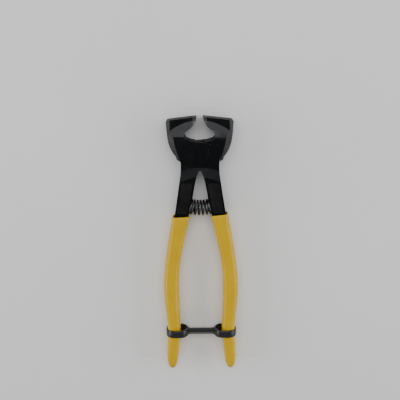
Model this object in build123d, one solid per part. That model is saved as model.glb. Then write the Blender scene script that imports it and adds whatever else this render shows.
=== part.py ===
"""Tile nippers, 200 mm long, lying on their back.

The pivot axis is the Z axis at x = y = 0, the jaws point along +Y and the handles along -Y.
The two steel halves are the same forging: the back one is the front one turned half a turn
about the line x = 0, z = mid_height.  Units are millimetres.
"""
import math
import os

from build123d import *

os.makedirs("parts", exist_ok=True)

# ---------- driving dimensions ----------
head_thickness = 16.4
mid_height = head_thickness / 2
lap_play = 0.10
shoulder_play = 0.20
arm_thickness = 10.4
arm_low = mid_height - arm_thickness / 2
arm_high = mid_height + arm_thickness / 2

# plan outline of the jaw on the -X side
jaw_tip = (-2.46, 25.9)
tip_face_mid = (-3.0, 23.0)
jaw_corner_points = [(-23.2, 23.54), (-24.35, 23.1), (-24.75, 21.9)]
flank_points = [(-24.1, 13.6), (-22.5, 5.0), (-20.5, 0.7)]
cheek_low = (-17.6, -3.2)
notch_outer = (-16.9, -5.5)
notch_inner_x = -14.3

# throat between the jaws, from the tip down to the bottom of the throat
tip_face_low = (-4.7, 20.0)
throat_points = [(-5.9, 18.5), (-7.9, 16.9), (-10.5, 15.3)]
throat_side = (-11.4, 13.2)
throat_foot = (-10.2, 9.6)
throat_floor = (-5.9, 7.95)
throat_floor_centre = (0.0, 7.5)

# the two round shoulders of the lap joint
lap_right_centre = (-0.4, -6.7)
lap_right_radius = 14.8
lap_mid_x = 12.1
lap_low_y = -6.7
lap_left_centre = (-1.7, 0.9)
lap_left_radius = 14.77
lap_left_mid_x = -9.1
crotch_half_gap = 0.95

# arm, from the joint to the grip, on the +X side
arm_outer_points = [(14.15, -10.6), (14.4, -15.1), (15.9, -25.8), (19.3, -47.9)]
arm_inner_points = [(2.65, -18.9), (3.6, -22.5), (6.1, -36.6), (9.2, -49.5)]

# grip stations on the +X side: y, inner x, outer x, depth, corner radius
grip_depth = 12.6
grip_stations = [
    (-49.5, 8.3, 21.4, 12.8, 3.4),
    (-59.0, 10.2, 23.0, 12.7, 4.6),
    (-68.9, 12.4, 24.8, grip_depth, 5.0),
    (-82.0, 15.0, 26.7, grip_depth, 5.1),
    (-95.0, 16.5, 28.3, grip_depth, 5.1),
    (-105.3, 16.9, 28.9, grip_depth, 5.2),
    (-117.7, 16.9, 28.3, grip_depth, 5.1),
    (-134.5, 16.2, 26.7, grip_depth, 5.0),
    (-143.5, 16.3, 26.4, grip_depth, 4.95),
    (-155.8, 17.4, 26.9, grip_depth, 4.65),
    (-166.0, 18.5, 27.1, 12.0, 4.2),
]
grip_end_stations = [(-171.4, 19.9, 26.1, 9.6, 3.0), (-174.1, 21.6, 24.6, 5.6, 1.45)]
grip_wall = 1.7
bar_end_y = -158.5
tang_start_y = -51.0
tang_flat_y = -58.0
tang_relief_depth = 1.0

# relief of the head faces
face_crease_y = 11.2
face_arc_centre_y = -10.0
face_arc_radius = 33.7
face_slope_degrees = 10.0
rim_depth = 1.0
flank_bevel_centre = (40.5, 19.3)
flank_bevel_radius = 60.46
flank_bevel_slope = 0.5
neck_cone_centre_y = -50.0
neck_cone_outer = 38.7
neck_cone_inner = 31.1
panel_depth = 0.5
panel_corners = [(5.5, -23.6), (10.4, -46.4), (17.3, -46.4), (13.9, -23.6)]
panel_corner_radius = 1.2

# pivot rivet
rivet_radius = 4.5
rivet_head_radius = 6.4
rivet_head_height = 1.9
rivet_play = 0.05

# carbide tips
carbide_seat_x = 5.05
braze_thickness = 0.18

# return spring and its pegs
spring_y = -43.2
spring_radius = 5.3
spring_wire_radius = 0.7
spring_half_length = 5.3
spring_turns = 6.5
peg_radius = 2.9
peg_reach = 3.4
peg_sunk = 4.0
peg_dome = 1.3

# storage clip round the handles
clip_y = -143.5
clip_height = 6.0
clip_inner_x = 10.0
clip_outer_x = 27.6
clip_side_wall = 1.0
clip_inner_wall = 1.6
clip_face_wall = 1.6
clip_corner = 6.0
strap_height = 4.8
strap_thickness = 2.4
strap_play = 0.05


def circle_y(centre, radius, x, side):
    """Y of a circle at x, on its upper (+1) or lower (-1) side."""
    return centre[1] + side * math.sqrt(radius**2 - (x - centre[0]) ** 2)


def circle_x(centre, radius, y):
    """X of a circle at y, on its +X side."""
    return centre[0] + math.sqrt(radius**2 - (y - centre[1]) ** 2)


def tool_turn(shape):
    """The same piece on the other half: half a turn about x = 0, z = mid_height."""
    return shape.rotate(Axis((0, 0, mid_height), (0, 1, 0)), 180)


def both_faces(cut):
    """A cut made in the front face and the same cut in the back face."""
    return cut + cut.mirror(Plane.XY.offset(mid_height))


# ---------- one forged half ----------
def on_left_shoulder(x):
    return (x, circle_y(lap_left_centre, lap_left_radius, x, -1))


def on_right_shoulder(x):
    return (x, circle_y(lap_right_centre, lap_right_radius, x, 1))


def jaw_edges():
    """Outer edge of the -X jaw, from its tip round the flank to the notch above the arm."""
    return [
        Line(jaw_tip, jaw_corner_points[0]),
        ThreePointArc(*jaw_corner_points),
        Spline(jaw_corner_points[-1], *flank_points, cheek_low),
        Polyline(cheek_low, notch_outer, on_left_shoulder(notch_inner_x)),
    ]


def lever_edges():
    """Edge of the +X arm and its bar, from the crotch down and back up to the lap."""
    covered = grip_stations[1:-1]
    inner = [(inner_x + grip_wall, y) for y, inner_x, *_ in covered]
    outer = [(outer_x - grip_wall, y) for y, _, outer_x, *_ in covered]
    bar_end = ((inner[-1][0] + outer[-1][0]) / 2, bar_end_y)
    lap_low = (circle_x(lap_right_centre, lap_right_radius, lap_low_y), lap_low_y)
    return [
        Spline(on_left_shoulder(crotch_half_gap), *arm_inner_points, *inner),
        ThreePointArc(inner[-1], bar_end, outer[-1]),
        Spline(*reversed(outer), *reversed(arm_outer_points), lap_low),
        ThreePointArc(lap_low, on_right_shoulder(lap_mid_x), on_right_shoulder(-throat_floor[0])),
    ]


def throat_edges():
    """Edge of the throat, from the lap's top round the hollow to the jaw's tip."""
    return [
        Polyline(on_right_shoulder(-throat_floor[0]), throat_floor_centre, throat_floor, throat_foot),
        ThreePointArc(throat_foot, throat_side, throat_points[-1]),
        Spline(*reversed(throat_points), tip_face_low),
        Polyline(tip_face_low, tip_face_mid, jaw_tip),
    ]


def half_outline():
    """Plan of the front half: jaw on the -X side, lap over the pivot, arm on the +X side."""
    lap_edge = ThreePointArc(
        on_left_shoulder(notch_inner_x), on_left_shoulder(lap_left_mid_x), on_left_shoulder(crotch_half_gap)
    )
    return make_face(Curve() + jaw_edges() + [lap_edge] + lever_edges() + throat_edges())


def shoulder_clearance():
    """Plan of the room that the other half's lap and jaw leave round the front lap."""
    far = 60
    left_side = Pos(-far / 2, 0) * Rectangle(far, far)
    right_side = Pos(far / 2, 0) * Rectangle(far, far)
    left_disc = Pos(*lap_left_centre) * Circle(lap_left_radius + shoulder_play)
    right_disc = Pos(*lap_right_centre) * Circle(lap_right_radius + shoulder_play)
    return (left_disc & left_side) + (right_disc & right_side)


def neck_relief():
    """What is cut off one face of the arms, with a conical step up to the joint boss."""
    top = head_thickness + 1
    slope = (head_thickness - arm_high) / (neck_cone_outer - neck_cone_inner)
    flare = neck_cone_outer + (top - head_thickness) / slope
    profile = Polyline((0, arm_high), (neck_cone_inner, arm_high), (flare, top), (0, top), (0, arm_high))
    section = make_face(Plane.XZ * profile)
    cone = Pos(0, neck_cone_centre_y, 0) * revolve(section, Axis.Z)
    far = 260
    block = Pos(0, neck_cone_centre_y - far / 2, arm_high + far / 2) * Box(far, far, far)
    return cone + block


def tang_relief():
    """What is cut off one face of the bar where the grip covers it."""
    end_y = grip_end_stations[-1][0]
    tang_high = arm_high - tang_relief_depth
    profile = Polyline(
        (tang_start_y, arm_high),
        (tang_flat_y, tang_high),
        (end_y, tang_high),
        (end_y, arm_high + 1),
        (tang_start_y, arm_high + 1),
        (tang_start_y, arm_high),
    )
    return extrude(make_face(Plane.YZ * profile), 40, both=True)


def face_relief():
    """What is cut off one face of the jaws: a sloping crescent and a sunken rim beyond it."""
    reach = 30
    drop = reach * math.tan(math.radians(face_slope_degrees))
    wedge_profile = Polyline(
        (face_crease_y, head_thickness),
        (face_crease_y + reach, head_thickness - drop),
        (face_crease_y + reach, head_thickness + 1),
        (face_crease_y, head_thickness + 1),
        (face_crease_y, head_thickness),
    )
    wedge = extrude(make_face(Plane.YZ * wedge_profile), reach, both=True)
    disc = Pos(0, face_arc_centre_y) * Circle(face_arc_radius)
    crescent = wedge & extrude(disc, head_thickness + 2)
    rim_plan = Pos(0, face_crease_y + reach / 2) * Rectangle(2 * reach, reach) - disc
    rim = Pos(0, 0, head_thickness - rim_depth) * extrude(rim_plan, 2)
    return crescent + rim


def flank_bevel():
    """What a conical grind cuts off one face along the outer flank of the -X jaw."""
    below, above = 8, 1
    cone = Pos(*flank_bevel_centre, head_thickness + (above - below) / 2) * Cone(
        flank_bevel_radius + below / flank_bevel_slope,
        flank_bevel_radius - above / flank_bevel_slope,
        below + above,
    )
    flank_zone = Pos(-24, 11, head_thickness + (above - below) / 2) * Box(20, 38, below + above)
    return flank_zone - cone


def arm_panel():
    """Plan of the shallow panel sunk in each face of the arm."""
    plan = make_face(Polyline(*panel_corners, panel_corners[0]))
    return fillet(plan.vertices(), panel_corner_radius)


def tip_seat(grow=0.0):
    """Plan of the corner milled out of the jaw for its tip; grow makes room for the braze."""
    width = carbide_seat_x + grow
    height = 10.0
    return Pos(-width / 2, tip_face_low[1] - grow + height / 2) * Rectangle(width, height)


def faced(blank):
    """A piece of the jaw with the reliefs of both head faces cut from it."""
    return blank - both_faces(face_relief()) - both_faces(flank_bevel())


def forged_half():
    solid = faced(extrude(half_outline() - tip_seat(braze_thickness), head_thickness))
    panel = Pos(0, 0, arm_high - panel_depth) * extrude(arm_panel(), 2)
    solid = solid - both_faces(neck_relief()) - both_faces(tang_relief()) - both_faces(panel)
    room = extrude(shoulder_clearance().mirror(Plane.YZ), -head_thickness)
    solid -= Pos(0, 0, mid_height + lap_play / 2) * room
    solid -= Cylinder(rivet_radius + rivet_play, 3 * head_thickness)
    solid -= rivet_head(rivet_play)
    solid -= peg_at(peg_radius, 1.0)
    return solid


def rivet_head(grow=0.0):
    """Countersunk head at the upper end of the rivet; grow makes the hole for it."""
    low_radius = rivet_radius + grow
    high_radius = rivet_head_radius + grow
    centre_z = head_thickness - rivet_head_height / 2
    return Pos(0, 0, centre_z) * Cone(low_radius, high_radius, rivet_head_height)


def peg_axis():
    """Where the spring peg leaves the +X arm, square to the arm's inner edge."""
    (high_x, high_y), (low_x, low_y) = arm_inner_points[-2:]
    lean = math.atan2(low_x - high_x, high_y - low_y)
    face_x = high_x + (high_y - spring_y) * math.tan(lean)
    inward = (-math.cos(lean), -math.sin(lean), 0)
    return Plane(origin=(face_x, spring_y, mid_height), z_dir=inward)


def peg_at(radius, reach=0.0):
    """A round bar from inside the arm to a distance past its inner edge."""
    height = peg_sunk + reach
    return peg_axis() * (Pos(0, 0, (reach - peg_sunk) / 2) * Cylinder(radius, height))


# ---------- small pieces ----------
def carbide_tip():
    return faced(extrude(half_outline() & tip_seat(), head_thickness))


def tip_braze():
    seat = tip_seat(braze_thickness) - tip_seat()
    return faced(extrude(half_outline() & seat, head_thickness))


def pivot_rivet():
    shank = Pos(0, 0, mid_height) * Cylinder(rivet_radius, head_thickness)
    head = rivet_head()
    return shank + head + tool_turn(head)


def spring_peg():
    bar = peg_at(peg_radius, peg_reach)
    tip = bar.edges().filter_by(GeomType.CIRCLE).sort_by(Axis.X)[0]
    return fillet(tip, peg_dome)


def return_spring():
    """Compression coil across the gap between the arms."""
    length = 2 * spring_half_length
    helix = Helix(length / spring_turns, length, spring_radius)
    start = Plane(origin=helix @ 0, z_dir=helix % 0)
    wire = sweep(start * Circle(spring_wire_radius), path=helix, is_frenet=True)
    return Pos(-spring_half_length, spring_y, mid_height) * (Rot(0, 90, 0) * wire)


def across_handle(x, y):
    """Plane square to the handles' length, with its own X along +X."""
    return Plane(origin=(x, y, mid_height), z_dir=(0, -1, 0), x_dir=(1, 0, 0))


def handle_grip(steel):
    """Dipped grip on the +X handle, with the steel bar cut out of it."""
    sections = []
    for y, inner_x, outer_x, depth, corner in grip_stations + grip_end_stations:
        place = across_handle((inner_x + outer_x) / 2, y)
        sections.append(place * RectangleRounded(outer_x - inner_x, depth, corner))
    return loft(sections) - steel


def loop_section(low_x, high_x, depth, corner):
    return Pos((low_x + high_x) / 2, 0) * RectangleRounded(high_x - low_x, depth, corner)


def clip_loop():
    """Rounded loop of the storage clip round the +X handle."""
    outer = loop_section(clip_inner_x, clip_outer_x, head_thickness, clip_corner)
    inner = loop_section(
        clip_inner_x + clip_inner_wall,
        clip_outer_x - clip_side_wall,
        head_thickness - 2 * clip_face_wall,
        clip_corner - clip_side_wall,
    )
    return extrude(across_handle(0, clip_y) * (outer - inner), clip_height / 2, both=True)


def clip_strap():
    length = 2 * (clip_inner_x - strap_play)
    return Pos(0, clip_y, mid_height) * Box(length, strap_height, strap_thickness)


front_half = forged_half()
right_grip = handle_grip(front_half)
nodes = {
    "front_half": front_half,
    "back_half": tool_turn(front_half),
    "front_carbide_tip": carbide_tip(),
    "back_carbide_tip": tool_turn(carbide_tip()),
    "front_tip_braze": tip_braze(),
    "back_tip_braze": tool_turn(tip_braze()),
    "pivot_rivet": pivot_rivet(),
    "front_spring_peg": spring_peg(),
    "back_spring_peg": tool_turn(spring_peg()),
    "return_spring": return_spring(),
    "right_grip": right_grip,
    "left_grip": tool_turn(right_grip),
    "clip_loop_right": clip_loop(),
    "clip_loop_left": tool_turn(clip_loop()),
    "clip_strap": clip_strap(),
}
for name, shape in nodes.items():
    export_step(shape, f"parts/{name}.step")
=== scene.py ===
"""Looks of the tile nippers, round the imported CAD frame.

The halves, tips and rivet are the CAD shapes with eased edges. The grips, spring and clip are
new meshes fitted to the frame's pieces. The braze and the pegs are shown as they are.
The frame is in metres: +Z up along the pivot, +Y towards the jaws, +X to the right.
"""
import math

import bmesh
import bpy
import numpy as np
from mathutils import Matrix, Vector
from mathutils import noise as solid_noise


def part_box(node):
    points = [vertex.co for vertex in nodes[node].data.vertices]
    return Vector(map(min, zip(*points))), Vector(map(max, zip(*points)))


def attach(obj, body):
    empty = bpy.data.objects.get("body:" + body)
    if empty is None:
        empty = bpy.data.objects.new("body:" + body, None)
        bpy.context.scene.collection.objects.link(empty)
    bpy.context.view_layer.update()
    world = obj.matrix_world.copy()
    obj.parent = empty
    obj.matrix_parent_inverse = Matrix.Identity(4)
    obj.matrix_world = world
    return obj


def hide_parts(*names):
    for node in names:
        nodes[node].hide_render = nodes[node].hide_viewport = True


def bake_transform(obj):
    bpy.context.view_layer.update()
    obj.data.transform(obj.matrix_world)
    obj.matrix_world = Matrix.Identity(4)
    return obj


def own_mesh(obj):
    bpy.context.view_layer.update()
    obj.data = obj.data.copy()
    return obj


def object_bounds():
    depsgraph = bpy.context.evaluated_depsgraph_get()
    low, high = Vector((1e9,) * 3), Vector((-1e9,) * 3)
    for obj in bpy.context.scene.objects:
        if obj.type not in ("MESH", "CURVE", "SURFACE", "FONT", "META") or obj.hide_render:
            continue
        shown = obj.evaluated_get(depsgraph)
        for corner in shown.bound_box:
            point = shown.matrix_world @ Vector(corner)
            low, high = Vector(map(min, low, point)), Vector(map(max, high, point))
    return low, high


MM = 0.001
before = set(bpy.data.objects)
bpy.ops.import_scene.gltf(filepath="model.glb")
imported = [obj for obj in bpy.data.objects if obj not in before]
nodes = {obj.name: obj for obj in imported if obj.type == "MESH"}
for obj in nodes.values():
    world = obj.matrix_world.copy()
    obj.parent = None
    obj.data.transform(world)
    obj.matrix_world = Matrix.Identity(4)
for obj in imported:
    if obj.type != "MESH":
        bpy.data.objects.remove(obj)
cad_low, cad_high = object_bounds()
MID = (cad_low.z + cad_high.z) / 2


# ---------- shader helpers ----------
# nearly all of a noise pattern lies between these two levels
NOISE_LOW, NOISE_HIGH = 0.3, 0.7
# how fine each pattern is, in waves per metre
METAL_CLOUDS, METAL_GLOSS, FORGING_PITS = 90.0, 210.0, 1100.0
VINYL_CLOUDS, VINYL_GLOSS, ORANGE_PEEL, VINYL_GRAIN = 60.0, 210.0, 480.0, 4200.0
PLASTIC_CLOUDS, PLASTIC_GLOSS, SPARK_TEXTURE = 180.0, 700.0, 3800.0
FLOOR_CLOUDS = 6.0


def new_material(name):
    """A node material with one principled shader, and its object-space coordinates."""
    material = bpy.data.materials.new(name)
    material.use_nodes = True
    tree = material.node_tree
    shader = tree.nodes["Principled BSDF"]
    place = tree.nodes.new("ShaderNodeTexCoord").outputs["Object"]
    return material, tree, shader, place


def stretched(tree, place, scale):
    """The coordinates scaled by a number along each axis, to draw a pattern out along a line."""
    mapping = tree.nodes.new("ShaderNodeMapping")
    mapping.inputs["Scale"].default_value = scale
    tree.links.new(place, mapping.inputs["Vector"])
    return mapping.outputs["Vector"]


def noise(tree, place, scale, detail=3.0, roughness=0.55):
    """A fractal noise pattern; scale is how fine it is."""
    texture = tree.nodes.new("ShaderNodeTexNoise")
    texture.inputs["Scale"].default_value = scale
    texture.inputs["Detail"].default_value = detail
    texture.inputs["Roughness"].default_value = roughness
    tree.links.new(place, texture.inputs["Vector"])
    return texture.outputs["Fac"]


def ramp(tree, value, stops):
    """A colour for each level of a pattern; stops are (level, colour)."""
    node = tree.nodes.new("ShaderNodeValToRGB")
    elements = node.color_ramp.elements
    while len(elements) < len(stops):
        elements.new(0.5)
    for element, (level, colour) in zip(elements, stops):
        element.position = level
        element.color = (*colour, 1.0)
    tree.links.new(value, node.inputs["Fac"])
    return node.outputs["Color"]


def levels(tree, value, low, high):
    """A noise pattern's middle part spread from low to high."""
    node = tree.nodes.new("ShaderNodeMapRange")
    node.inputs["From Min"].default_value = NOISE_LOW
    node.inputs["From Max"].default_value = NOISE_HIGH
    node.inputs["To Min"].default_value = low
    node.inputs["To Max"].default_value = high
    tree.links.new(value, node.inputs["Value"])
    return node.outputs["Result"]


def bumped(tree, shader, layers):
    """Bump layers, from coarse to fine: (pattern, depth in metres)."""
    normal = None
    for pattern, depth in layers:
        node = tree.nodes.new("ShaderNodeBump")
        node.inputs["Strength"].default_value = 1.0
        node.inputs["Distance"].default_value = depth
        tree.links.new(pattern, node.inputs["Height"])
        if normal:
            tree.links.new(normal, node.inputs["Normal"])
        normal = node.outputs["Normal"]
    tree.links.new(normal, shader.inputs["Normal"])


def metal(name, dark, light, rough, lines, line_depth, pits=0.0, edge_gloss=0.45):
    """A metal with clouded colour and gloss and fine lines drawn out along one axis.

    rough is the range of its roughness, lines how fine the lines are along each axis, pits the
    depth of forging pits, and edge_gloss how bright it gets at a grazing angle.
    """
    material, tree, shader, place = new_material(name)
    shader.inputs["Metallic"].default_value = 1.0
    shader.inputs["Specular Tint"].default_value = (edge_gloss, edge_gloss, edge_gloss, 1.0)
    clouds = noise(tree, place, METAL_CLOUDS, detail=5.0)
    stops = [(NOISE_LOW, dark), (NOISE_HIGH, light)]
    tree.links.new(ramp(tree, clouds, stops), shader.inputs["Base Color"])
    gloss = noise(tree, place, METAL_GLOSS, detail=5.0)
    tree.links.new(levels(tree, gloss, *rough), shader.inputs["Roughness"])
    layers = []
    if pits:
        layers.append((noise(tree, place, FORGING_PITS, detail=4.0, roughness=0.6), pits))
    drawn_out = stretched(tree, place, lines)
    layers.append((noise(tree, drawn_out, 1.0, detail=2.0), line_depth))
    bumped(tree, shader, layers)
    return material


# ---------- materials ----------
def grip_material():
    """Dipped vinyl: warm yellow, faintly mottled, with a soft orange-peel skin."""
    material, tree, shader, place = new_material("dipped_vinyl")
    clouds = noise(tree, place, VINYL_CLOUDS, detail=4.0)
    deep, even, pale = (0.60, 0.365, 0.0), (0.65, 0.400, 0.0), (0.68, 0.43, 0.0005)
    stops = [(0.25, deep), (0.55, even), (0.8, pale)]
    tree.links.new(ramp(tree, clouds, stops), shader.inputs["Base Color"])
    gloss = noise(tree, place, VINYL_GLOSS)
    tree.links.new(levels(tree, gloss, 0.24, 0.34), shader.inputs["Roughness"])
    shader.inputs["Specular IOR Level"].default_value = 0.3
    peel = noise(tree, place, ORANGE_PEEL, detail=2.0, roughness=0.4)
    grain = noise(tree, place, VINYL_GRAIN, detail=2.0, roughness=0.5)
    peel_depth, grain_depth = 0.00005, 0.000004
    bumped(tree, shader, [(peel, peel_depth), (grain, grain_depth)])
    return material


def clip_material():
    """Moulded black polypropylene with a fine spark-eroded texture."""
    material, tree, shader, place = new_material("moulded_black")
    clouds = noise(tree, place, PLASTIC_CLOUDS)
    stops = [(NOISE_LOW, (0.008, 0.008, 0.009)), (NOISE_HIGH, (0.015, 0.015, 0.016))]
    tree.links.new(ramp(tree, clouds, stops), shader.inputs["Base Color"])
    gloss = noise(tree, place, PLASTIC_GLOSS)
    tree.links.new(levels(tree, gloss, 0.26, 0.40), shader.inputs["Roughness"])
    texture_depth = 0.000012
    bumped(tree, shader, [(noise(tree, place, SPARK_TEXTURE, detail=2.0), texture_depth)])
    return material


def floor_material():
    """A matt, nearly white floor."""
    material, tree, shader, place = new_material("pale_floor")
    clouds = noise(tree, place, FLOOR_CLOUDS)
    stops = [(NOISE_LOW, (0.86, 0.86, 0.85)), (NOISE_HIGH, (0.89, 0.89, 0.88))]
    tree.links.new(ramp(tree, clouds, stops), shader.inputs["Base Color"])
    shader.inputs["Roughness"].default_value = 0.9
    return material


# how fine the lines of a metal are along X, Y and Z: few along the way they run
ACROSS = (90.0, 7000.0, 7000.0)
ALONG = (7000.0, 120.0, 7000.0)
THROUGH = (7000.0, 7000.0, 110.0)
# depths of the relief, in metres
GRINDING_DEPTH, LINE_DEPTH = 0.000004, 0.000003
FORGED_PITS, PANEL_PITS = 0.00003, 0.00006

ground_steel = metal(
    "black_ground", (0.019, 0.020, 0.021), (0.028, 0.029, 0.030), (0.16, 0.25),
    ACROSS, GRINDING_DEPTH
)
forged_steel = metal(
    "black_forged", (0.022, 0.022, 0.022), (0.040, 0.039, 0.038), (0.30, 0.44),
    ALONG, LINE_DEPTH, FORGED_PITS
)
panel_steel = metal(
    "black_panel", (0.017, 0.016, 0.016), (0.032, 0.030, 0.029), (0.38, 0.54),
    ALONG, LINE_DEPTH, PANEL_PITS
)
# a lighter copy of the black steel for the head's sideways bevels: painted reflection of the bright
# surroundings
flank_painted_reflection_steel = metal(
    "black_flank_painted_reflection", (0.036, 0.036, 0.038), (0.058, 0.058, 0.061), (0.22, 0.34),
    ALONG, LINE_DEPTH
)
# the rounded edges: rubbed wear, lightened further as a painted highlight along the edge arcs
rubbed_and_painted_highlight_steel = metal(
    "rubbed_edge_and_painted_highlight", (0.07, 0.071, 0.073), (0.15, 0.148, 0.145), (0.22, 0.34),
    ALONG, LINE_DEPTH
)
carbide = metal(
    "ground_carbide", (0.045, 0.045, 0.048), (0.075, 0.075, 0.078), (0.28, 0.40),
    THROUGH, LINE_DEPTH
)
braze = metal(
    "blackened_braze", (0.045, 0.038, 0.028), (0.08, 0.066, 0.046), (0.32, 0.44),
    ALONG, LINE_DEPTH
)
zinc = metal(
    "spring_zinc", (0.05, 0.053, 0.056), (0.10, 0.103, 0.106), (0.24, 0.38),
    ALONG, LINE_DEPTH, edge_gloss=0.7
)
vinyl = grip_material()
black_plastic = clip_material()


# ---------- mesh helpers ----------
# points nearer than this are merged, and faces at a smaller angle than this are joined
SAME_POINT, STILL_FLAT = 0.002 * MM, math.radians(0.4)
# edges at a larger angle than this are rounded
SHARP_EDGE = math.radians(20)
# edges this near to the rivet's heads get this share of the rounding
RIVET_MARGIN, RIVET_EASING = 0.3 * MM, 0.15


def new_piece(name, mesh_data, body, replaced, materials):
    """An object in the scene, with its materials, the body it rides and what it stands for."""
    piece = bpy.data.objects.new(name, mesh_data)
    bpy.context.scene.collection.objects.link(piece)
    for material in materials:
        mesh_data.materials.append(material)
    if body:
        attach(piece, body)
    if replaced:
        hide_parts(replaced)
    return piece


def apply_modifiers(piece):
    """Bake the piece's modifiers into its mesh."""
    depsgraph = bpy.context.evaluated_depsgraph_get()
    baked = bpy.data.meshes.new_from_object(piece.evaluated_get(depsgraph), depsgraph=depsgraph)
    piece.modifiers.clear()
    piece.data = baked


def eased_copy(name, node, body, width, materials, pick_material=None):
    """The CAD node's shape with its sharp edges rounded and its flat faces shaded flat.

    The edges round the rivet are eased only a little, since its heads are ground flush. Where
    faces are given different materials, the rounded edges get the last one.
    """
    shape = bmesh.new()
    shape.from_mesh(nodes[node].data)
    bmesh.ops.remove_doubles(shape, verts=shape.verts, dist=SAME_POINT)
    bmesh.ops.dissolve_limit(
        shape, angle_limit=STILL_FLAT, verts=shape.verts, edges=shape.edges, delimit=set()
    )
    shape.normal_update()
    if pick_material:
        for face in shape.faces:
            face.material_index = pick_material(face)
    rivet_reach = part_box("pivot_rivet")[1].x + RIVET_MARGIN
    easing = shape.edges.layers.float.new("bevel_weight_edge")
    for edge in shape.edges:
        if edge.calc_face_angle(0) > SHARP_EDGE:
            from_pivot = max(math.hypot(vertex.co.x, vertex.co.y) for vertex in edge.verts)
            edge[easing] = RIVET_EASING if from_pivot < rivet_reach else 1.0
    mesh_data = bpy.data.meshes.new(name)
    shape.to_mesh(mesh_data)
    shape.free()
    piece = new_piece(name, mesh_data, body, node, materials)
    bevel = piece.modifiers.new("ease", "BEVEL")
    bevel.width = width
    bevel.segments = 3
    bevel.limit_method = "WEIGHT"
    bevel.use_clamp_overlap = True
    if pick_material:
        bevel.material = len(materials) - 1
    for polygon in mesh_data.polygons:
        polygon.use_smooth = True
    shading = piece.modifiers.new("large_faces_first", "WEIGHTED_NORMAL")
    shading.mode = "FACE_AREA"
    shading.weight = 100
    apply_modifiers(piece)
    return piece


def closed_skin(name, rings, capped=True):
    """A mesh through rings of points: capped at both ends, or the last ring joined to the first."""
    count = len(rings[0])
    verts = [point for ring in rings for point in ring]
    faces = []
    joins = len(rings) - 1 if capped else len(rings)
    for r in range(joins):
        s = (r + 1) % len(rings)
        for k in range(count):
            n = (k + 1) % count
            faces.append((r * count + k, r * count + n, s * count + n, s * count + k))
    if capped:
        for r in (0, len(rings) - 1):
            centre = len(verts)
            verts.append(tuple(np.mean(rings[r], axis=0)))
            faces += [(r * count + k, r * count + (k + 1) % count, centre) for k in range(count)]
    mesh_data = bpy.data.meshes.new(name)
    mesh_data.from_pydata(verts, [], faces)
    shape = bmesh.new()
    shape.from_mesh(mesh_data)
    bmesh.ops.recalc_face_normals(shape, faces=shape.faces)
    shape.to_mesh(mesh_data)
    shape.free()
    for polygon in mesh_data.polygons:
        polygon.use_smooth = True
    return mesh_data


def rounded_outline(half_x, half_z, corner, per_corner=10):
    """Points (x, z) round a rectangle with round corners, always the same number of them."""
    outline = []
    for quarter in range(4):
        side_x = 1 if quarter in (0, 3) else -1
        side_z = 1 if quarter in (0, 1) else -1
        for step in range(per_corner + 1):
            angle = math.radians(90) * (quarter + step / per_corner)
            x = side_x * (half_x - corner) + corner * math.cos(angle)
            z = side_z * (half_z - corner) + corner * math.sin(angle)
            outline.append((x, z))
    return outline


# ---------- the two forged halves ----------
# half the thickness of the arms, and of the arms at their sunken panels
ARM_HALF = 5.2 * MM
PANEL_HALF = ARM_HALF - 0.5 * MM
PANEL_TOLERANCE = 0.06 * MM
# the head's flanks lie on the jaws' side of this line across the tool
HEAD_START = -12 * MM
# shares of a face's normal along Z, from a steep face to a nearly level one, and along X
STEEP, SLOPING, NEARLY_LEVEL = 0.5, 0.7, 0.9
SIDEWAYS = 0.35
GROUND, FORGED, PANEL, FLANK = range(4)


def steel_zone(face):
    """Which finish a face has: the head's bevelled flanks, walls, sunken panels or flats. The
    flanks get a lighter copy of the black steel, a painted reflection of the bright surroundings.
    """
    middle = face.calc_center_median()
    height = abs(middle.z - MID)
    sloping = STEEP < abs(face.normal.z) < NEARLY_LEVEL
    if sloping and middle.y > HEAD_START and abs(face.normal.x) > SIDEWAYS:
        return FLANK
    if abs(face.normal.z) < SLOPING:
        return FORGED
    if abs(height - PANEL_HALF) < PANEL_TOLERANCE:
        return PANEL
    return GROUND


def carried_over(node, material):
    """A CAD node that is shown as it is, with a finish of its own."""
    nodes[node].data.materials.clear()
    nodes[node].data.materials.append(material)


STEEL_EASING, SMALL_EASING = 0.4 * MM, 0.12 * MM
# in the order of steel_zone's numbers, with the rounded edges' finish last: rubbed wear, made
# lighter still as a painted highlight
steel_finishes = [ground_steel, forged_steel, panel_steel, flank_painted_reflection_steel, rubbed_and_painted_highlight_steel]
for side in ("front", "back"):
    lever = f"{side}_lever"
    half = f"{side}_half"
    eased_copy(
        f"{half}_steel", half, lever, STEEL_EASING, steel_finishes, steel_zone
    )
    eased_copy(
        f"{side}_tip_carbide", f"{side}_carbide_tip", lever, SMALL_EASING, [carbide]
    )
    carried_over(f"{side}_tip_braze", braze)
    carried_over(f"{side}_spring_peg", forged_steel)
eased_copy(
    "pivot_rivet_steel", "pivot_rivet", "front_lever", SMALL_EASING, [ground_steel]
)


# ---------- dipped grips ----------
GRIP_STATIONS = 110
# the skin's waves, per metre
COARSE_WAVES, FINE_WAVES = 95.0, 310.0
# the corners' radius as a share of the smaller half size: where the grip is roundest, and how
# much of it is lost where the grip is squarest
ROUND_CORNER, SQUARE_LOSS = 0.86, 0.34


def section_sizes(node, y):
    """Middle and half width in X, and half depth in Z, of a CAD node cut across at y."""
    data = nodes[node].data
    points = np.array([v.co for v in data.vertices], float)
    ends = np.array([e.vertices[:] for e in data.edges], int)
    a, b = points[ends[:, 0]], points[ends[:, 1]]
    crossing = (a[:, 1] - y) * (b[:, 1] - y) < 0
    a, b = a[crossing], b[crossing]
    share = (y - a[:, 1]) / (b[:, 1] - a[:, 1])
    cut = a + (b - a) * share[:, None]
    low, high = cut.min(0), cut.max(0)
    return (low[0] + high[0]) / 2, (high[0] - low[0]) / 2, (high[2] - low[2]) / 2


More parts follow.
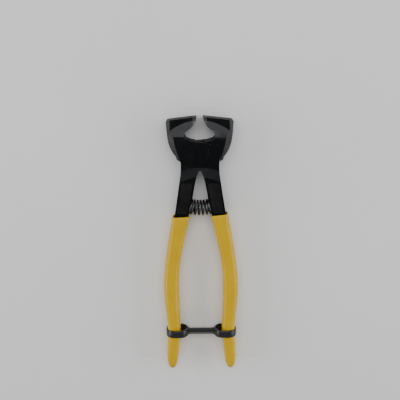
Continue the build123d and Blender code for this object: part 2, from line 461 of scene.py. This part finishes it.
def dip_waviness(x, y, z):
    """How far the dipped skin lies off its ideal surface at a point: it is never quite even."""
    coarse = solid_noise.noise(Vector((x, y, z)) * COARSE_WAVES)
    fine = solid_noise.noise(Vector((x, y, z)) * FINE_WAVES)
    thinner = 0.08
    return (0.07 * coarse + 0.012 * fine - thinner) * MM


def grip_ring(middle, y, half_x, half_z, squareness):
    """One cross-section of a grip: squareness is 1 where it is squarest and 0 where roundest."""
    corner = min(half_x, half_z) * (ROUND_CORNER - SQUARE_LOSS * squareness)
    ring = []
    for x, z in rounded_outline(half_x, half_z, corner):
        reach = math.hypot(x, z)
        grow = 1 + dip_waviness(middle + x, y, z) / reach if reach > MM else 1
        ring.append((middle + x * grow, y, MID + z * grow))
    return ring


def grip(name, node, body, rise, slope):
    """A dipped grip: a soft lip at the top, a smooth waist and belly, and a round blind end.

    The dip line isn't quite level: rise is how far it climbs the arm, slope how much it tilts.
    """
    low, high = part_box(node)
    top, bottom = high.y, low.y
    # the lip as (drop below the top, inset from the skin), in mm
    lip = [(1.0, 1.25), (0.35, 1.12), (0.06, 0.85), (0.0, 0.62), (0.08, 0.32), (0.35, 0.10)]
    lip += [(0.8, 0.0)]
    top_middle, half_x, half_z = section_sizes(node, top - 0.3 * MM)
    rings = []
    for drop, inset in lip:
        wide, deep = half_x - inset * MM, half_z - inset * MM
        rings.append(grip_ring(top_middle, top - drop * MM, wide, deep, 1.0))
    start, end = top - 1.6 * MM, bottom + 0.3 * MM
    bead_height = 0.10 * MM
    # in mm from the top: the bead's middle and width, and how far down the squareness fades
    bead_drop, bead_width, square_fade = 2.4, 1.5, 14
    for step in range(GRIP_STATIONS + 1):
        y = start + (end - start) * step / GRIP_STATIONS
        middle, half_x, half_z = section_sizes(node, y)
        from_top = (top - y) / MM
        bead = bead_height * math.exp(-((from_top - bead_drop) / bead_width) ** 2)
        squareness = math.exp(-from_top / square_fade)
        rings.append(grip_ring(middle, y, half_x + bead, half_z + bead, squareness))
    # the blind end as (height above the bottom in mm, share of the last station's size)
    for up, keep in ((0.16, 0.80), (0.06, 0.50), (0.01, 0.22)):
        rings.append(grip_ring(middle, bottom + up * MM, half_x * keep, half_z * keep, 0.0))
    # the dip line's rise fades down the grip, and the lifted skin leans in along the arm
    rise_fade = 7 * MM
    lean = -0.17 * math.copysign(1, top_middle)
    uneven = []
    for ring in rings:
        moved = []
        for x, y, z in ring:
            lift = (rise + slope * (x - top_middle)) * math.exp((y - top) / rise_fade)
            moved.append((x + lean * lift, y + lift, z))
        uneven.append(moved)
    return new_piece(name, closed_skin(name, uneven), body, node, [vinyl])


grip("right_grip_vinyl", "right_grip", "front_lever", 1.5 * MM, 0.10)
grip("left_grip_vinyl", "left_grip", "back_lever", 0.0, 0.05)


# ---------- return spring ----------
def tube(name, path, radius, sides=14):
    """A round wire along a list of points, with its ends capped."""
    points = [Vector(p) for p in path]
    rings = []
    across = None
    for i, point in enumerate(points):
        ahead = (points[min(i + 1, len(points) - 1)] - points[max(i - 1, 0)]).normalized()
        if across is None:
            across = ahead.orthogonal().normalized()
        across = (across - ahead * across.dot(ahead)).normalized()
        other = ahead.cross(across)
        ring = []
        for k in range(sides):
            angle = 2 * math.pi * k / sides
            outward = across * math.cos(angle) + other * math.sin(angle)
            ring.append(tuple(point + outward * radius))
        rings.append(ring)
    return closed_skin(name, rings)


def coil_between_arms():
    """A coil on a bowed axis, square to both arms, with a closed turn at each end."""
    low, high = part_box("return_spring")
    centre_y = (low.y + high.y) / 2
    wire = 0.7 * MM
    coil_radius = (high.z - low.z) / 2 - wire
    # the axis is an arc: bow is its radius, apex_y its centre, reach half its angle
    bow = 32.2 * MM
    apex_y = centre_y + bow
    half_width = 7.6 * MM
    reach = math.asin(half_width / bow)
    # share of the arc that a closed turn takes, a little more than one wire's thickness
    closed = 1.02 * wire / (bow * reach)
    turns, per_turn = 6.75, 48
    path = []
    for step in range(int(turns * per_turn) + 1):
        turn = step / per_turn
        if turn < 1:
            share = closed * turn
        elif turn > turns - 1:
            share = 1 - closed * (turns - turn)
        else:
            share = closed + (1 - 2 * closed) * (turn - 1) / (turns - 2)
        lean = (share - 0.5) * 2 * reach
        spin = 2 * math.pi * turn
        out = bow + coil_radius * math.cos(spin)
        z = MID + coil_radius * math.sin(spin)
        path.append((out * math.sin(lean), apex_y - out * math.cos(lean), z))
    mesh_data = tube("return_spring_coil", path, wire)
    piece = new_piece("return_spring_coil", mesh_data, None, "return_spring", [zinc])
    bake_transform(piece)


coil_between_arms()


# ---------- storage clip ----------
def clip_loop(name, node, body):
    """One moulded loop: a band with a crowned outside and soft edges."""
    low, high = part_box(node)
    middle_x, middle_y = (low.x + high.x) / 2, (low.y + high.y) / 2
    half_x, half_y, half_z = (high.x - low.x) / 2, (high.y - low.y) / 2, (high.z - low.z) / 2
    outer_wall, inner_wall, face_wall = 1.0 * MM, 1.6 * MM, 1.6 * MM
    outer_corner, hole_corner, per_corner = 7.4 * MM, 5.8 * MM, 14
    hole_half_x = half_x - (outer_wall + inner_wall) / 2
    outer = rounded_outline(half_x, half_z, outer_corner, per_corner)
    hole = rounded_outline(hole_half_x, half_z - face_wall, hole_corner, per_corner)
    shift = math.copysign((inner_wall - outer_wall) / 2, middle_x)
    # the band's section as (share of the way from hole to outside, share of the half height)
    section = [(0.0, -0.80), (0.05, -0.93), (0.20, -0.99), (0.42, -1.0), (0.62, -0.985)]
    section += [(0.78, -0.93), (0.87, -0.82), (0.94, -0.60), (0.985, -0.32), (1.0, 0.0)]
    section += [(t, -height) for t, height in reversed(section[:-1])]
    rings = []
    for (outer_x, outer_z), (hole_x, hole_z) in zip(outer, hole):
        ring = []
        for t, height in section:
            x = (hole_x + shift) * (1 - t) + outer_x * t
            z = hole_z * (1 - t) + outer_z * t
            ring.append((middle_x + x, middle_y + half_y * height, MID + z))
        rings.append(ring)
    mesh_data = closed_skin(name, rings, capped=False)
    return new_piece(name, mesh_data, body, node, [black_plastic])


FLARE_SHARE = 0.6  # how much of the added thickness the strap's width gets


def clip_strap():
    """The strap between the clip's loops: two ribs and a web, flared where it runs into them.

    A thin tongue on its left end stays in that loop's wall while the handles draw the loops apart.
    """
    low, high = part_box("clip_strap")
    middle = (low + high) / 2
    half_y, half_z = (high.y - low.y) / 2, (high.z - low.z) / 2
    reach = high.x
    # a quarter of the section, as shares of the half sizes along Y and Z, then its mirror images
    outline = [(1.0, 0.0), (1.0, 0.55), (0.93, 0.86), (0.80, 1.0), (0.62, 0.98), (0.50, 0.72)]
    outline += [(0.25, 0.62)]
    outline += [(0.0, 0.60)] + [(-y, z) for y, z in reversed(outline)]
    outline += [(y, -z) for y, z in reversed(outline[1:-1])]
    # (distance in from the strap's end, added thickness), in mm
    flare = [(-1.4, 0.0), (-0.9, 0.25), (-0.3, 0.75), (0.25, 0.42), (0.8, 0.16), (1.6, 0.04)]
    flare += [(2.6, 0.0)]
    tongue = [(-3.4, -0.55), (-1.5, -0.5)]
    stations = [(-reach + step * MM, extra * MM) for step, extra in tongue + flare]
    stations += [(reach - step * MM, extra * MM) for step, extra in reversed(flare)]
    rings = []
    for x, extra in stations:
        wide, thick = half_y + extra * FLARE_SHARE, half_z + extra
        rings.append([(x, middle.y + y * wide, middle.z + z * thick) for y, z in outline])
    mesh_data = closed_skin("clip_strap_web", rings)
    piece = new_piece(
        "clip_strap_web", mesh_data, "clip_right", "clip_strap", [black_plastic]
    )
    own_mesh(piece)


clip_loop("clip_loop_right_moulding", "clip_loop_right", "clip_right")
clip_loop("clip_loop_left_moulding", "clip_loop_left", "clip_left")
clip_strap()


# ---------- floor, light and camera ----------
def floor():
    """A plane under the tool, four metres wide."""
    bpy.ops.mesh.primitive_plane_add(size=4.0, location=(0, -0.05, cad_low.z))
    plane = bpy.context.object
    plane.name = "floor"
    plane.data.materials.append(floor_material())


def softbox(name, across_degrees, along_degrees, distance, size, radiance):
    """A soft light that faces a point of the tool, 40 mm from the pivot towards the handles.

    It stands straight above that point, leant by the two angles towards +X and +Y. Radiance is
    how bright its face is.
    """
    data = bpy.data.lights.new(name, "AREA")
    data.shape = "RECTANGLE"
    data.size, data.size_y = size
    data.energy = radiance * math.pi * size[0] * size[1]
    lamp = bpy.data.objects.new(name, data)
    bpy.context.scene.collection.objects.link(lamp)
    lean_x, lean_y = math.radians(across_degrees), math.radians(along_degrees)
    away = Vector((math.tan(lean_x), math.tan(lean_y), 1))
    faced = Vector((0, -0.04, 0))
    lamp.location = away.normalized() * distance + faced
    lamp.rotation_euler = (-away).to_track_quat("-Z", "Y").to_euler()


def camera():
    """Above the tool, leant towards the jaws and turned a little about the line of sight."""
    aim = Vector((-0.2 * MM, -37.4 * MM, MID))
    distance, tilt, roll = 0.5115, math.radians(13.14), math.radians(0.46)
    back = Vector((0, math.sin(tilt), math.cos(tilt)))
    up = Vector((0, math.cos(tilt), -math.sin(tilt)))
    right = Vector((1, 0, 0))
    turned_right = right * math.cos(roll) - up * math.sin(roll)
    turned_up = right * math.sin(roll) + up * math.cos(roll)
    axes = Matrix((turned_right, turned_up, back)).transposed()
    data = bpy.data.cameras.new("camera")
    data.sensor_width = 36.0
    data.lens = 60.93
    data.clip_start, data.clip_end = 0.01, 20.0
    view = bpy.data.objects.new("camera", data)
    bpy.context.scene.collection.objects.link(view)
    view.matrix_world = Matrix.Translation(aim + back * distance) @ axes.to_4x4()
    bpy.context.scene.camera = view


floor()
world = bpy.data.worlds.new("studio")
world.use_nodes = True
world.node_tree.nodes["Background"].inputs["Color"].default_value = (0.95, 0.97, 1.0, 1.0)
world.node_tree.nodes["Background"].inputs["Strength"].default_value = 0.26
bpy.context.scene.world = world
softbox("jaw_side_softbox", 0, 25, 1.2, (1.3, 0.85), 2.4)
softbox("left_softbox", -70, 5, 1.1, (1.3, 0.45), 3.6)
softbox("right_softbox", 70, 5, 1.1, (1.3, 0.45), 3.6)
softbox("handle_side_softbox", 0, -58, 1.2, (1.2, 0.35), 0.8)
camera()
